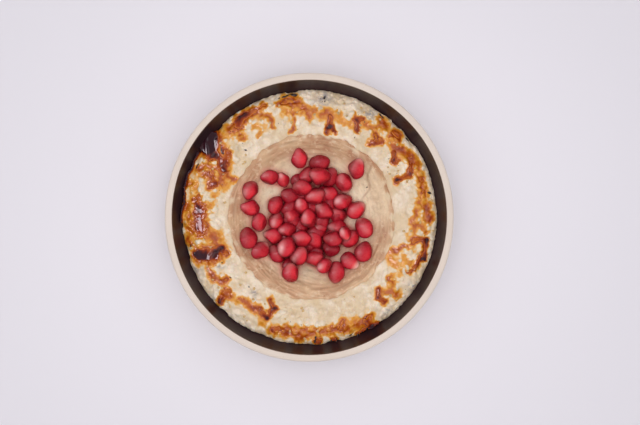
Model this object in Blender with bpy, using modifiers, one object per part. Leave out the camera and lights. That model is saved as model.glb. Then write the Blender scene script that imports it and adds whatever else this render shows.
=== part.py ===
"""Baba ganoush in its stoneware bowl.

A low round bowl, glazed dark inside, holds a ring of chopped smoky aubergine dip.
A spoon has hollowed the dip into a round well, a smooth sesame spread lines the well,
and loose pomegranate arils lie on the spread, one on another in the middle.

The frame: +Z up, the origin at the centre of the foot, on the table.
Every length is in metres; MM turns the millimetres that a cook would measure into them.
"""

import math
from itertools import product

import bmesh
import bpy
from mathutils import Euler, Matrix, Vector, noise
from mathutils.bvhtree import BVHTree

MM = 0.001

# ---- driving dimensions -----------------------------------------------------------

BOWL_DIAMETER = 170 * MM
BOWL_HEIGHT = 41 * MM
RIM_WIDTH = 4.5 * MM
GAP = 0.3 * MM  # clearance between pieces that touch

# ---- the bowl ---------------------------------------------------------------------

BOWL_RADIUS = BOWL_DIAMETER / 2
MOUTH_RADIUS = BOWL_RADIUS - RIM_WIDTH
RIM_ROUND_OUTER = 1.4 * MM
RIM_ROUND_INNER = 0.6 * MM
FLOOR_HEIGHT = 8 * MM  # the inside floor above the table
FLOOR_RADIUS = 52 * MM  # where the flat floor starts to turn up into the wall
WALL_POWER = 1.6  # 2 would be an ellipse, less is a more sloping wall
BELLY_RADIUS = 54 * MM  # where the outside turns in to the foot
BELLY_HEIGHT = 3.2 * MM
BELLY_POWER = 1.75
FOOT_RADIUS = 51 * MM
FOOT_WIDTH = 5 * MM
RECESS_DEPTH = 2.4 * MM
BOWL_STEPS = 60

# ---- the dip and the spread -------------------------------------------------------

DIP_EDGE_HEIGHT = 28.5 * MM  # where the dip meets the bowl's wall
CREST_HEIGHT = 32.4 * MM
CREST_RADIUS = 63 * MM
WELL_LIP_RADIUS = 49.5 * MM
WELL_LIP_HEIGHT = 29.6 * MM
WELL_FLOOR_HEIGHT = 17.0 * MM  # top of the spread in the middle of the well
WELL_FLOOR_RADIUS = 17 * MM
WELL_CENTRE = Vector((1.5 * MM, 0, 0))
WELL_RINGS = [r * MM for r in (10, 20, 29, 37, 44, 49)]  # the mesh's rings in the well
CREST_RINGS = [r * MM for r in (49.7, 50.8, 54, 58, 63, 68, 73)]
SPREAD_THICKNESS = 3.0 * MM
SPREAD_EDGE_THICKNESS = 1.6 * MM
DIP_STEPS = 48
LUMP_HEIGHT = 0.9 * MM
LUMP_SIZE = 9 * MM
EDGE_WANDER = 0.9 * MM

# ---- the pomegranate arils --------------------------------------------------------

ARIL_WIDTH_SHARE = 0.81  # of the length
ARIL_DEPTH_SHARE = 0.64
ARIL_TAPER = 0.30  # how much narrower the tip is than the broad end
ARIL_BOX_POWER = 2.5  # 2 is a round section, more is squarer
TILTS = (-18, 0, 18)  # degrees tried in pitch and in roll, the lowest lie is kept
NUDGE = 1.4 * MM  # how far an aril may roll aside to lie lower
NUDGE_PRICE = 0.7  # a nudge has to win this much of its own length in height
DROP_STEP = 1.0 * MM
SETTLE_STEP = 0.1 * MM

# One row for each aril, from the bottom of the heap up:
# x and y of its middle and its length in millimetres, and the way its tip points in degrees.
ARILS = [
    # the ones scattered round the left side of the well
    (-6.1, 35.3, 11.2, 95), (-16.0, 22.4, 8.8, -70), (-24.0, 24.0, 10.2, 180),
    (-35.4, 16.2, 11.0, 60), (-35.5, 5.7, 11.0, 172), (-31.8, -3.1, 10.8, -82),
    (-36.4, -12.2, 12.2, 95), (-30.6, -18.4, 11.4, 48),
    # the ones scattered round the right side
    (28.0, 29.0, 12.0, 68), (20.8, 20.4, 11.6, -76), (28.0, 4.6, 11.4, 38),
    (32.8, -6.0, 12.2, 122), (32.2, -20.5, 12.0, 72), (26.1, -12.9, 11.2, 46),
    (24.0, -26.5, 11.4, -36), (16.0, -33.0, 12.2, -98),
    # the bottom of the heap, from the back to the front
    (6.0, 31.9, 12.0, 184), (-1.4, 26.3, 10.6, 70), (12.0, 24.1, 11.6, 52),
    (-11.8, 12.9, 11.0, 162), (12.8, 13.9, 10.8, -26), (-20.6, 7.4, 10.8, 62),
    (17.4, 1.8, 10.4, -10), (-10.4, -0.4, 11.4, -38), (-20.2, -2.0, 10.0, 70),
    (-22.4, -11.4, 10.6, 166), (-5.8, -6.6, 9.4, 14), (-13.4, -13.2, 8.6, -25),
    (-3.2, 13.2, 8.4, 80), (5.4, -7.0, 9.6, 205), (12.8, -19.2, 10.6, -12),
    (2.8, -14.8, 11.2, -72), (-21.0, -23.0, 11.2, 130), (-13.6, -26.8, 8.4, 15),
    (-11.5, -33.0, 11.2, 90), (5.2, -20.6, 8.4, 20), (2.7, -25.2, 11.0, 188),
    (9.0, -28.7, 9.4, 34),
    # the top of the heap
    (6.2, 25.6, 12.4, -8), (-4.4, 19.0, 11.4, 2), (2.2, 13.7, 11.6, 198),
    (-6.1, 7.6, 10.2, -70), (18.8, 8.2, 11.0, 28), (8.3, 5.2, 11.6, 140),
    (16.6, -5.3, 11.8, 172), (-0.7, -0.9, 11.4, 95), (-13.4, -7.5, 10.2, 16),
    (13.8, -13.2, 11.0, 176), (21.2, -9.8, 8.4, -66), (-4.7, -13.0, 11.6, 4),
    (-15.0, -19.0, 12.0, 66), (-7.4, -22.0, 11.6, 56),
]

COLOURS = {
    "glaze": (0.035, 0.022, 0.018),
    "aubergine": (0.72, 0.60, 0.40),
    "sesame": (0.60, 0.42, 0.27),
    "ruby": (0.42, 0.010, 0.018),
}


# ---- small helpers ----------------------------------------------------------------


def blend(a, b, share):
    """From a at share 0 to b at share 1, easing out at both ends."""
    share = min(max(share, 0.0), 1.0)
    share = share * share * (3 - 2 * share)
    return a + (b - a) * share


def arc(centre, radius, start, end, steps):
    """Points (r, z) of a quarter round in the profile's plane, angles in degrees."""
    turn = [math.radians(start + (end - start) * i / steps) for i in range(steps + 1)]
    return [(centre[0] + radius * math.cos(a), centre[1] + radius * math.sin(a)) for a in turn]


def material(name, colour, roughness):
    made = bpy.data.materials.new(name)
    made.use_nodes = True
    shader = made.node_tree.nodes["Principled BSDF"]
    shader.inputs["Base Color"].default_value = (*colour, 1)
    shader.inputs["Roughness"].default_value = roughness
    shader.inputs["Metallic"].default_value = 0
    return made


def turned(name, profile, steps):
    """A solid of revolution about Z. The profile runs from the axis out and back to the axis."""
    mesh = bpy.data.meshes.new(name)
    points = [(r, 0, z) for r, z in profile]
    mesh.from_pydata(points, [(i, i + 1) for i in range(len(points) - 1)], [])
    body = bpy.data.objects.new(name, mesh)
    bpy.context.scene.collection.objects.link(body)
    screw = body.modifiers.new("turn", "SCREW")
    screw.axis = "Z"
    screw.steps = screw.render_steps = steps
    screw.use_merge_vertices = True
    screw.merge_threshold = 0.1 * MM
    return body


def frozen(body):
    """The same object with its modifiers worked into its mesh."""
    graph = bpy.context.evaluated_depsgraph_get()
    mesh = bpy.data.meshes.new_from_object(body.evaluated_get(graph))
    body.modifiers.clear()
    body.data = mesh
    return body


# ---- the bowl ---------------------------------------------------------------------


def wall_radius(height):
    """Radius of the bowl's inside at this height above the table."""
    depth = (BOWL_HEIGHT - height) / (BOWL_HEIGHT - FLOOR_HEIGHT)
    share = max(0.0, 1 - depth**WALL_POWER) ** (1 / WALL_POWER)
    return FLOOR_RADIUS + (MOUTH_RADIUS - FLOOR_RADIUS) * share


def inside_profile(top, steps):
    """Points (r, z) up the bowl's inside, from the edge of its floor to the height top."""
    rise = (top - FLOOR_HEIGHT) / steps**2
    heights = [FLOOR_HEIGHT + rise * i**2 for i in range(steps + 1)]
    return [(wall_radius(z), z) for z in heights]


def outside_profile(top, steps):
    """Points (r, z) down the bowl's outside, from the height top to the belly above the foot."""
    points = []
    for i in range(steps + 1):
        depth = (i / steps) ** 0.8
        share = max(0.0, 1 - depth**BELLY_POWER) ** (1 / BELLY_POWER)
        radius = BELLY_RADIUS + (BOWL_RADIUS - BELLY_RADIUS) * share
        points.append((radius, top - (top - BELLY_HEIGHT) * depth))
    return points


def make_bowl():
    inner_centre = (MOUTH_RADIUS + RIM_ROUND_INNER, BOWL_HEIGHT - RIM_ROUND_INNER)
    outer_centre = (BOWL_RADIUS - RIM_ROUND_OUTER, BOWL_HEIGHT - RIM_ROUND_OUTER)
    profile = [(0, FLOOR_HEIGHT)]
    profile += inside_profile(BOWL_HEIGHT - 3 * MM, 6)
    profile += arc(inner_centre, RIM_ROUND_INNER, 180, 90, 2)
    profile += arc(outer_centre, RIM_ROUND_OUTER, 90, 0, 2)
    profile += outside_profile(BOWL_HEIGHT - 2 * RIM_ROUND_OUTER, 5)
    profile += [
        (FOOT_RADIUS, 0),
        (FOOT_RADIUS - FOOT_WIDTH, 0),
        (FOOT_RADIUS - FOOT_WIDTH - RECESS_DEPTH / 2, RECESS_DEPTH),
        (0, RECESS_DEPTH),
    ]
    return turned("bowl", profile, BOWL_STEPS)


# ---- the dip and the spread -------------------------------------------------------


def from_well(x, y):
    return math.hypot(x - WELL_CENTRE.x, y - WELL_CENTRE.y)


def well_top(x, y):
    """Top of the spread: a shallow dish that the spoon has turned."""
    share = (from_well(x, y) - WELL_FLOOR_RADIUS) / (WELL_LIP_RADIUS - WELL_FLOOR_RADIUS)
    return blend(WELL_FLOOR_HEIGHT, WELL_LIP_HEIGHT, share)


def lumps(x, y):
    """The dip's coarse unevenness, from about -1 to 1."""
    coarse = noise.noise(Vector((x, y, 0)) / LUMP_SIZE)
    fine = noise.noise(Vector((x, y, 7 * LUMP_SIZE)) / (0.45 * LUMP_SIZE))
    return 1.3 * coarse + 0.7 * fine


def ring_top(x, y):
    """Top of the chopped dip between the well's lip and the bowl's wall."""
    radius = math.hypot(x, y)
    if radius < CREST_RADIUS:
        share = (radius - WELL_LIP_RADIUS) / (CREST_RADIUS - WELL_LIP_RADIUS)
        height = blend(WELL_LIP_HEIGHT, CREST_HEIGHT, share)
    else:
        share = (radius - CREST_RADIUS) / (wall_radius(DIP_EDGE_HEIGHT) - CREST_RADIUS)
        height = CREST_HEIGHT + (DIP_EDGE_HEIGHT - CREST_HEIGHT) * share**1.7
    return height + LUMP_HEIGHT * lumps(x, y)


def spread_thickness(distance):
    share = min(distance / WELL_LIP_RADIUS, 1)
    return SPREAD_THICKNESS + (SPREAD_EDGE_THICKNESS - SPREAD_THICKNESS) * share**3


def dip_top(x, y):
    """Top of the dip, which runs on beneath the spread in the well."""
    distance = from_well(x, y)
    if distance < WELL_LIP_RADIUS + GAP:
        return well_top(x, y) - spread_thickness(distance) - GAP
    return ring_top(x, y)


def make_dip():
    """The chopped aubergine: the bowl's inside below, the worked surface above."""
    below = inside_profile(DIP_EDGE_HEIGHT, 5)
    edge = below[-1][0] - GAP
    floor = FLOOR_HEIGHT + GAP
    profile = [(0, WELL_FLOOR_HEIGHT)]
    profile += [(radius, DIP_EDGE_HEIGHT) for radius in WELL_RINGS + CREST_RINGS + [edge]]
    profile += [(r - GAP, z + GAP) for r, z in reversed(below[:-1])]
    profile += [(0, floor)]
    dip = frozen(turned("baba_ganoush", profile, DIP_STEPS))
    for vertex in dip.data.vertices:
        x, y, z = vertex.co
        radius = math.hypot(x, y)
        on_top = z > DIP_EDGE_HEIGHT - 0.01 * MM or radius < 1 * MM and z > floor + 1 * MM
        if not on_top:
            continue
        if radius < edge - 0.1 * MM:
            shift = (edge - radius) / (edge - WELL_LIP_RADIUS)
            x += WELL_CENTRE.x * min(shift, 1)
            vertex.co = Vector((x, y, dip_top(x, y)))
            continue
        height = DIP_EDGE_HEIGHT + EDGE_WANDER * lumps(x, y)
        out = (wall_radius(height) - GAP) / radius
        vertex.co = Vector((x * out, y * out, height))
    return dip


def make_spread():
    """The smooth sesame spread, a thin dish that lines the well."""
    profile = [(0, 0)]
    profile += [(radius, 0) for radius in WELL_RINGS]
    profile += [(radius, -1 * MM) for radius in reversed(WELL_RINGS)]
    profile += [(0, -1 * MM)]
    spread = frozen(turned("sesame_spread", profile, DIP_STEPS))
    for vertex in spread.data.vertices:
        x = vertex.co.x + WELL_CENTRE.x
        y = vertex.co.y
        top = well_top(x, y)
        below = spread_thickness(from_well(x, y)) if vertex.co.z < -0.5 * MM else 0
        vertex.co = Vector((x, y, top - below))
    return spread


# ---- the arils --------------------------------------------------------------------


def aril_mesh(name, length):
    """One juice-filled seed: a squarish pear form with its tip at +X."""
    shaper = bmesh.new()
    bmesh.ops.create_icosphere(shaper, subdivisions=2, radius=1)
    for vertex in shaper.verts:
        x, y, z = vertex.co
        round_section = math.hypot(y, z)
        if round_section > 1e-6:
            turn = math.atan2(z, y)
            bulge = abs(math.cos(turn)) ** ARIL_BOX_POWER + abs(math.sin(turn)) ** ARIL_BOX_POWER
            swell = bulge ** (-1 / ARIL_BOX_POWER)
            narrow = 1 - ARIL_TAPER * blend(0, 1, (x + 0.3) / 1.3)
            y *= swell * narrow
            z *= swell * narrow
        vertex.co = Vector((x, y * ARIL_WIDTH_SHARE, z * ARIL_DEPTH_SHARE)) * (length / 2)
    mesh = bpy.data.meshes.new(name)
    shaper.to_mesh(mesh)
    shaper.free()
    return mesh


def tree_of(mesh, matrix, swell=0.0):
    """A search tree of the mesh's faces once it is placed and swollen by a clearance."""
    points = [matrix @ (v.co + v.normal * swell) for v in mesh.vertices]
    return BVHTree.FromPolygons(points, [tuple(f.vertices) for f in mesh.polygons])


def dropped(mesh, x, y, turn, near, height):
    """How low the middle of this aril sinks from the height before it touches anything."""
    for step in (DROP_STEP, SETTLE_STEP):
        while height > 0:
            tree = tree_of(mesh, Matrix.LocRotScale(Vector((x, y, height - step)), turn, None), GAP)
            if any(tree.overlap(other) for other in near):
                break
            height -= step
    return height


def best_lie(mesh, x, y, heading, near, start):
    """The place and turn that let this aril lie lowest, close to where it falls."""
    lies = []
    for aside, along in product((0, -1, 1), repeat=2):
        for pitch in TILTS:
            for roll in TILTS:
                turn = Euler((math.radians(roll), math.radians(pitch), math.radians(heading)))
                px, py = x + aside * NUDGE, y + along * NUDGE
                height = dropped(mesh, px, py, turn, near, start)
                price = NUDGE_PRICE * math.hypot(aside, along) * NUDGE
                lies.append((round(height + price, 6), px, py, height, tuple(turn)))
    cost, px, py, height, turn = min(lies)
    return Matrix.LocRotScale(Vector((px, py, height)), Euler(turn), None)


def make_arils(spread, dip):
    """Drops the arils one by one, in the order of the list."""
    still = Matrix.Identity(4)
    beds = [tree_of(spread.data, still), tree_of(dip.data, still)]
    arils, lying = [], []
    for number, (x, y, length, heading) in enumerate(ARILS, 1):
        x, y, length = x * MM, y * MM, length * MM
        mesh = aril_mesh(f"aril_{number:02d}", length)
        near = [entry for entry in lying if math.hypot(entry[0] - x, entry[1] - y) < 14 * MM]
        start = max([entry[2] for entry in near] + [well_top(x, y) + 4 * MM]) + length / 2
        trees = beds + [entry[3] for entry in near]
        place = best_lie(mesh, x, y, heading, trees, start)
        aril = bpy.data.objects.new(mesh.name, mesh)
        bpy.context.scene.collection.objects.link(aril)
        aril.location = place.translation
        aril.rotation_euler = place.to_euler()
        top = max((place @ v.co).z for v in mesh.vertices)
        lying.append((place.translation.x, place.translation.y, top, tree_of(mesh, place)))
        arils.append(aril)
    return arils


# ---- the whole --------------------------------------------------------------------


def main():
    for old in list(bpy.data.objects):
        bpy.data.objects.remove(old)
    dish = bpy.data.collections.new("baba_ganoush_bowl")
    bpy.context.scene.collection.children.link(dish)

    bowl = make_bowl()
    dip = make_dip()
    spread = make_spread()
    arils = make_arils(spread, dip)

    bowl.data.materials.append(material("glazed_stoneware", COLOURS["glaze"], 0.25))
    dip.data.materials.append(material("chopped_aubergine", COLOURS["aubergine"], 0.45))
    spread.data.materials.append(material("sesame_spread", COLOURS["sesame"], 0.5))
    ruby = material("pomegranate", COLOURS["ruby"], 0.15)
    for aril in arils:
        aril.data.materials.append(ruby)

    for piece in (bowl, dip, spread, *arils):
        bpy.context.scene.collection.objects.unlink(piece)
        dish.objects.link(piece)
        piece.data.shade_smooth()
        piece.data.set_sharp_from_angle(angle=math.radians(45))


main()
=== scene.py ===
"""The looks of a bowl of baba ganoush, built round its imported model.

The glazed bowl is turned, the chopped dip and the smooth sesame spread are worked over with
lumps and spoon marks, pomegranate syrup runs into the hollows between the lumps, and the
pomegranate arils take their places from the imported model. Lengths in the helper functions
are millimetres, because a dish is small; they become metres where a mesh is written.
"""

import math
import random

import bpy
import numpy as np
from bpy.props import FloatProperty, FloatVectorProperty, IntProperty, PointerProperty
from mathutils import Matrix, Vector, noise


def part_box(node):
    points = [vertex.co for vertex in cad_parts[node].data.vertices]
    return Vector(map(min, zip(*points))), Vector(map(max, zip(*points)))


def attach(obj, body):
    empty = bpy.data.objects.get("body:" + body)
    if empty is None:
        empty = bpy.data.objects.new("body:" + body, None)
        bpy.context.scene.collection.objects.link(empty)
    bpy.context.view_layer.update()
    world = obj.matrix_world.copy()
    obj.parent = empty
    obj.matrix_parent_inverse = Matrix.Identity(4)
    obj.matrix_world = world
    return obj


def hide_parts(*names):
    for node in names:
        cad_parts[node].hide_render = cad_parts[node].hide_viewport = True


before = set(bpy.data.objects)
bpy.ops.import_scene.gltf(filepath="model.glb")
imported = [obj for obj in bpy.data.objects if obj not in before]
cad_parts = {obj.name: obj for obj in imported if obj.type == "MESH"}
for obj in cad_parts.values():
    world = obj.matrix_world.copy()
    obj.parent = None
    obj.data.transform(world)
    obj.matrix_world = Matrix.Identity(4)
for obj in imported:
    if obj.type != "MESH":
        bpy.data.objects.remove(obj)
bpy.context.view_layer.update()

bl_info = {
    "name": "Baba Ganoush Bowl",
    "version": (1, 0, 0),
    "blender": (4, 5, 0),
    "location": "View3D > Sidebar > Starters",
    "description": "Builds a glazed bowl of baba ganoush with syrup and pomegranate",
    "category": "Add Mesh",
}

MM = 0.001
DOUBLINGS = 5  # a turned shape is a sector of the circle doubled this many times
BOWL_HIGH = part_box("bowl")[1]
DIP_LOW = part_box("baba_ganoush")[0]
SPREAD_LOW, SPREAD_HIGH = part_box("sesame_spread")

# The dish in millimetres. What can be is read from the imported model's boxes.
RIM_RADIUS = BOWL_HIGH.x / MM
RIM_HEIGHT = BOWL_HIGH.z / MM
RIM_WIDTH = 4.5
MOUTH_RADIUS = RIM_RADIUS - RIM_WIDTH
FOOD_GAP = 0.3  # between the food and the wall
INNER_FLOOR_HEIGHT = DIP_LOW.z / MM - FOOD_GAP
INNER_FLOOR_RADIUS = 52.0
WELL_X = (SPREAD_LOW.x + SPREAD_HIGH.x) / 2 / MM
WELL_RADIUS = (SPREAD_HIGH.x - SPREAD_LOW.x) / 2 / MM + 0.5
LIP_HEIGHT = SPREAD_HIGH.z / MM
WELL_FLOOR = 17.0
WELL_FLOOR_RADIUS = 17.0
CREST_RADIUS = 63.0  # the dip stands highest here
CREST_HEIGHT = 32.4
DIP_EDGE = 28.5  # the dip's height at the wall
BRIM_RADIUS = 70.0  # a brimming pool stands level with the dip here, right up to the wall
BRIMMING = 3.3  # a pour of more than this brims

# Syrup that was poured over the dip: each pour runs from one place to another.
# x, y, x, y, half width in millimetres, and how much of it lies there:
# 1 wets only the hollows, 1.6 is a thin film, 2.2 a brown puddle, 3 and more a dark pool.
POURS = [
    # back left, a deep pool against the wall and what ran from it
    (-58.5, 46.5, -55.0, 35.0, 5.2, 3.6), (-64.5, 43.5, -60.0, 40.0, 3.6, 3.4),
    (-55.0, 35.0, -51.5, 28.5, 3.0, 3.3), (-48.5, 38.0, -50.2, 33.0, 2.2, 2.7),
    (-66.5, 38.0, -73.0, 25.5, 0.9, 3.4), (-73.2, 25.5, -77.0, -2.0, 0.8, 3.4),
    (-65.0, 29.0, -53.5, 20.5, 4.4, 1.6), (-60.0, 25.5, -57.0, 23.0, 3.0, 1.4),
    (-62.0, 17.0, -55.5, 20.0, 1.8, 2.5), (-52.0, 24.0, -45.5, 22.6, 1.9, 1.9),
    # back left, the long band
    (-46.5, 52.0, -38.0, 60.5, 3.6, 2.3), (-42.0, 57.0, -41.0, 55.0, 3.4, 2.0),
    (-38.0, 60.8, -27.0, 66.5, 2.0, 2.3), (-40.8, 47.2, -39.5, 46.6, 2.4, 1.7),
    (-28.0, 60.5, -24.5, 59.0, 2.6, 1.7), (-23.0, 57.5, -21.8, 53.5, 1.5, 1.7),
    (-34.0, 54.0, -30.0, 52.5, 3.4, 1.0), (-31.0, 47.5, -29.5, 49.5, 1.4, 1.3),
    # back
    (-19.0, 66.5, -14.5, 68.5, 2.2, 2.1), (-12.5, 70.0, -8.5, 68.5, 3.6, 2.0),
    (-13.0, 62.5, -4.0, 62.5, 4.2, 1.15), (-3.5, 66.0, -0.5, 60.5, 2.4, 1.7),
    (-9.6, 61.0, -8.8, 53.0, 1.2, 1.6), (-8.8, 53.2, -11.5, 50.8, 1.0, 1.6),
    (3.0, 63.0, 17.0, 61.5, 3.2, 1.45), (8.5, 60.5, 9.5, 62.5, 2.2, 1.5),
    (12.2, 59.0, 11.6, 53.5, 1.7, 3.1), (11.4, 53.5, 10.4, 50.4, 1.4, 3.0),
    (13.0, 54.5, 15.2, 50.8, 1.3, 3.0), (19.5, 57.5, 25.0, 54.0, 2.6, 1.25),
    (26.0, 63.0, 27.5, 59.0, 1.4, 1.9), (26.0, 57.9, 31.6, 58.0, 1.3, 2.7),
    (28.5, 57.5, 28.4, 51.4, 1.6, 3.1), (33.5, 56.0, 38.5, 53.0, 2.4, 1.5),
    # back right
    (42.0, 58.5, 45.0, 54.5, 3.0, 1.8), (39.0, 50.0, 39.5, 46.0, 1.5, 2.4),
    (36.2, 44.0, 42.6, 44.0, 1.5, 2.9), (41.5, 46.8, 44.0, 44.6, 1.3, 2.3),
    (50.2, 50.2, 52.6, 47.8, 2.4, 2.5), (48.6, 47.5, 52.4, 40.0, 3.0, 1.7),
    (50.2, 38.5, 49.8, 35.0, 1.4, 2.6), (49.8, 34.2, 52.0, 33.0, 1.6, 2.75),
    (55.0, 40.5, 60.0, 36.5, 2.6, 1.75), (54.5, 35.5, 60.5, 33.0, 2.4, 1.4),
    (60.4, 31.5, 59.4, 26.0, 1.5, 2.8), (59.2, 25.0, 52.6, 22.0, 1.8, 2.8),
    # right
    (61.5, 34.5, 66.5, 22.5, 3.0, 1.65), (66.8, 22.0, 68.2, 14.5, 2.6, 1.8),
    (68.0, 14.0, 64.5, 5.0, 3.0, 1.55), (70.5, 5.5, 71.2, -1.5, 2.9, 2.0),
    (63.0, 1.0, 62.0, -5.0, 2.4, 1.6), (66.0, -4.0, 70.0, -9.0, 2.4, 1.45),
    (61.2, -14.2, 70.4, -13.8, 1.5, 2.6), (69.4, -14.0, 67.4, -25.0, 1.3, 2.75),
    (67.0, -25.5, 59.6, -32.4, 1.7, 2.75), (62.5, -9.0, 58.0, -26.0, 3.2, 1.2),
    (49.2, -20.1, 57.0, -17.4, 1.8, 2.0), (49.0, -24.0, 54.0, -31.5, 3.2, 1.15),
    (47.6, -36.5, 51.8, -46.5, 2.4, 1.75), (45.0, -44.0, 48.4, -44.8, 2.0, 1.4),
    (40.9, -42.2, 40.7, -47.2, 1.4, 2.7), (40.7, -47.6, 44.8, -50.4, 1.8, 2.8),
    # front right
    (36.0, -58.6, 33.6, -61.0, 2.1, 2.4), (34.5, -60.5, 36.8, -66.5, 2.0, 2.6),
    (30.5, -63.5, 22.0, -66.0, 3.7, 1.85), (20.2, -62.0, 19.0, -66.5, 1.7, 2.3),
    (14.5, -66.5, 17.5, -66.0, 2.8, 1.8), (29.0, -69.5, 40.5, -63.0, 1.3, 2.8),
    (14.4, -73.2, 15.6, -73.0, 1.5, 3.2), (3.5, -74.2, 6.0, -73.8, 1.5, 3.2),
    # front
    (5.5, -68.5, 12.5, -67.5, 3.6, 1.8), (-3.0, -66.5, 1.0, -68.0, 2.6, 1.7),
    (-15.0, -68.0, -3.0, -69.5, 3.7, 2.0), (-22.0, -68.0, -19.0, -66.0, 2.0, 2.7),
    (-27.5, -63.0, -24.0, -65.5, 2.2, 1.2), (-2.5, -72.0, -7.5, -72.5, 2.0, 1.5),
    (-23.6, -48.6, -20.6, -54.4, 1.5, 2.7), (-20.4, -54.6, -25.4, -59.6, 1.7, 3.1),
    (-25.4, -59.6, -29.2, -55.2, 1.4, 2.6), (-40.8, -50.2, -32.5, -53.0, 2.4, 1.65),
    (-32.0, -53.5, -27.5, -59.0, 2.4, 1.45),
    # front left
    (-49.6, -44.6, -48.6, -46.6, 3.2, 2.5), (-51.6, -48.0, -53.2, -50.4, 2.2, 3.2),
    (-52.8, -38.2, -50.6, -37.6, 2.4, 2.2), (-58.4, -33.6, -57.0, -36.2, 2.3, 2.1),
    (-61.0, -29.5, -58.5, -33.5, 1.6, 1.4), (-65.0, -21.6, -57.0, -22.6, 4.3, 3.7),
    (-56.0, -19.4, -52.0, -18.6, 2.0, 3.0), (-52.4, -18.6, -49.4, -21.8, 1.7, 2.4),
    # left
    (-69.5, -9.0, -57.0, -11.5, 4.4, 1.55), (-57.0, -12.0, -53.0, -16.0, 2.6, 1.5),
    (-65.2, 6.0, -64.4, -7.0, 3.4, 3.7), (-73.5, 8.0, -71.5, -6.0, 2.4, 1.6),
    (-70.5, 20.0, -64.0, 8.0, 3.4, 1.3), (-57.0, 12.0, -58.5, 0.0, 2.6, 1.1),
    (-70.0, -17.0, -72.5, -13.0, 1.6, 1.9), (-66.5, 13.0, -69.0, 10.0, 1.3, 2.1),
]

# Folds where the thick syrup stands up in a soft ridge: x, y, x, y in millimetres.
# A ridge's left side mirrors the window. Further right the window stands lower, and ridges
# have to be steeper.
FOLDS = [(-61.5, 46.0, -61.2, 40.5), (-61.2, 40.5, -60.6, 35.5), (-54.8, 46.0, -53.6, 40.0),
         (-53.6, 40.0, -51.0, 35.8), (-51.0, 35.8, -51.4, 31.0), (-53.8, -18.8, -57.0, -20.4),
         (-57.0, -20.4, -59.0, -23.4), (-59.0, -23.4, -59.5, -27.4), (-52.6, -48.4, -53.0, -51.4),
         (67.8, -14.0, 66.4, -20.0), (66.4, -20.0, 62.6, -31.0), (12.2, 58.0, 11.4, 53.4),
         (28.2, 56.6, 28.0, 52.0), (39.6, 47.4, 38.4, 44.2), (50.4, 38.0, 49.6, 34.0),
         (59.9, 30.5, 59.3, 26.5), (-72.6, 24.0, -75.2, 11.0), (-75.2, 11.0, -76.0, 0.0),
         (42.0, -43.0, 41.4, -47.0), (-24.4, -50.0, -21.4, -54.6), (33.4, -59.4, 35.0, -64.4)]
FOLD_HEIGHT = 0.70
FOLD_WIDTH = 1.33
FOLD_STEEPER = 0.003  # for each millimetre to the right

# Places where the dip stands clear of the wall or stays clean: x, y, radius in millimetres
CLEAN = [(-63.5, 17.0, 3.0), (-67.0, 32.5, 2.2), (9.0, 71.0, 7.0), (22.0, 67.0, 7.0),
         (38.0, 64.0, 4.5), (-36.5, 53.5, 1.6), (-56.5, 31.5, 2.4), (60.0, -22.0, 2.4)]

# Grey patches of skin in the dip: x, y, radius
SKIN_BITS = [(9, 70.5, 5.0), (3, 66, 2.5), (-53, -27.5, 3.6), (47, -57, 2.6), (61, -41, 2.6),
             (36, 61, 3.0), (-33, -45, 2.0), (-67, -30, 3.0), (-20, -41, 1.5)]

# Furrows the spoon drew in the spread: the angle of the middle and half the length in degrees,
# the distance from the middle of the well and the width in millimetres
FURROWS = [(77, 16, 43.5, 0.7), (108, 10, 46.5, 0.6), (-84, 9, 43.0, 0.6), (-105, 9, 39.0, 0.6),
           (-62, 12, 45.0, 0.8), (176, 16, 46.5, 0.8), (205, 12, 44.5, 0.8), (-30, 16, 42.5, 0.5)]

# Notches in the dip's outer edge: angle and half width in degrees, depth in millimetres
NOTCHES = [(57, 4.5, 1.0), (47, 3.0, 1.2), (38, 4.0, 0.9), (98, 3.0, 1.4), (137, 4.0, 1.6),
           (196, 4.0, 1.3), (228, 2.5, 0.9), (281, 3.5, 1.4), (296, 2.5, 1.2), (304, 3.0, 0.8)]


# ---- colours and sizes a user may change ------------------------------------------


def colour(name, text, value):
    return FloatVectorProperty(
        name=name, description=text, subtype="COLOR", size=3, min=0, max=1, default=value
    )


class GanoushBowl(bpy.types.PropertyGroup):
    steps: IntProperty(name="Steps", description="Faces round the bowl", default=256, min=24)
    wobble: FloatProperty(
        name="Wobble", description="How far the hand-turned wall strays",
        default=0.12 * MM, unit="LENGTH",
    )
    glaze: colour("Glaze", "Dark glaze of the inside", (0.0290, 0.0130, 0.0155))
    clay: colour("Clay", "Cream glaze of the rim and the outside", (0.77, 0.665, 0.575))


class GanoushDip(bpy.types.PropertyGroup):
    steps: IntProperty(name="Steps", description="Faces round the dip", default=928, min=48)
    lump: FloatProperty(
        name="Lump", description="Height of the soft mash's lumps", default=0.72 * MM, unit="LENGTH"
    )
    bits: IntProperty(name="Bits", description="How many chopped bits stand out", default=1500)
    flesh: colour("Flesh", "Cream of the mashed aubergine", (0.88, 0.745, 0.585))
    # the crease colour is painted shade deep between the lumps
    crease_shade: colour("Crease", "Colour deep between the lumps", (0.64, 0.48, 0.28))
    skin: colour("Skin", "Grey violet of the charred skin", (0.33, 0.29, 0.28))


class GanoushSpread(bpy.types.PropertyGroup):
    steps: IntProperty(name="Steps", description="Faces round the spread", default=576, min=48)
    ridge: FloatProperty(
        name="Ridge", description="Height of the spoon marks", default=0.34 * MM, unit="LENGTH"
    )
    paste: colour("Paste", "Beige of the sesame paste", (0.79, 0.515, 0.315))
    shade: colour("Shade", "Darker streaks of the paste", (0.52, 0.30, 0.165))


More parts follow.
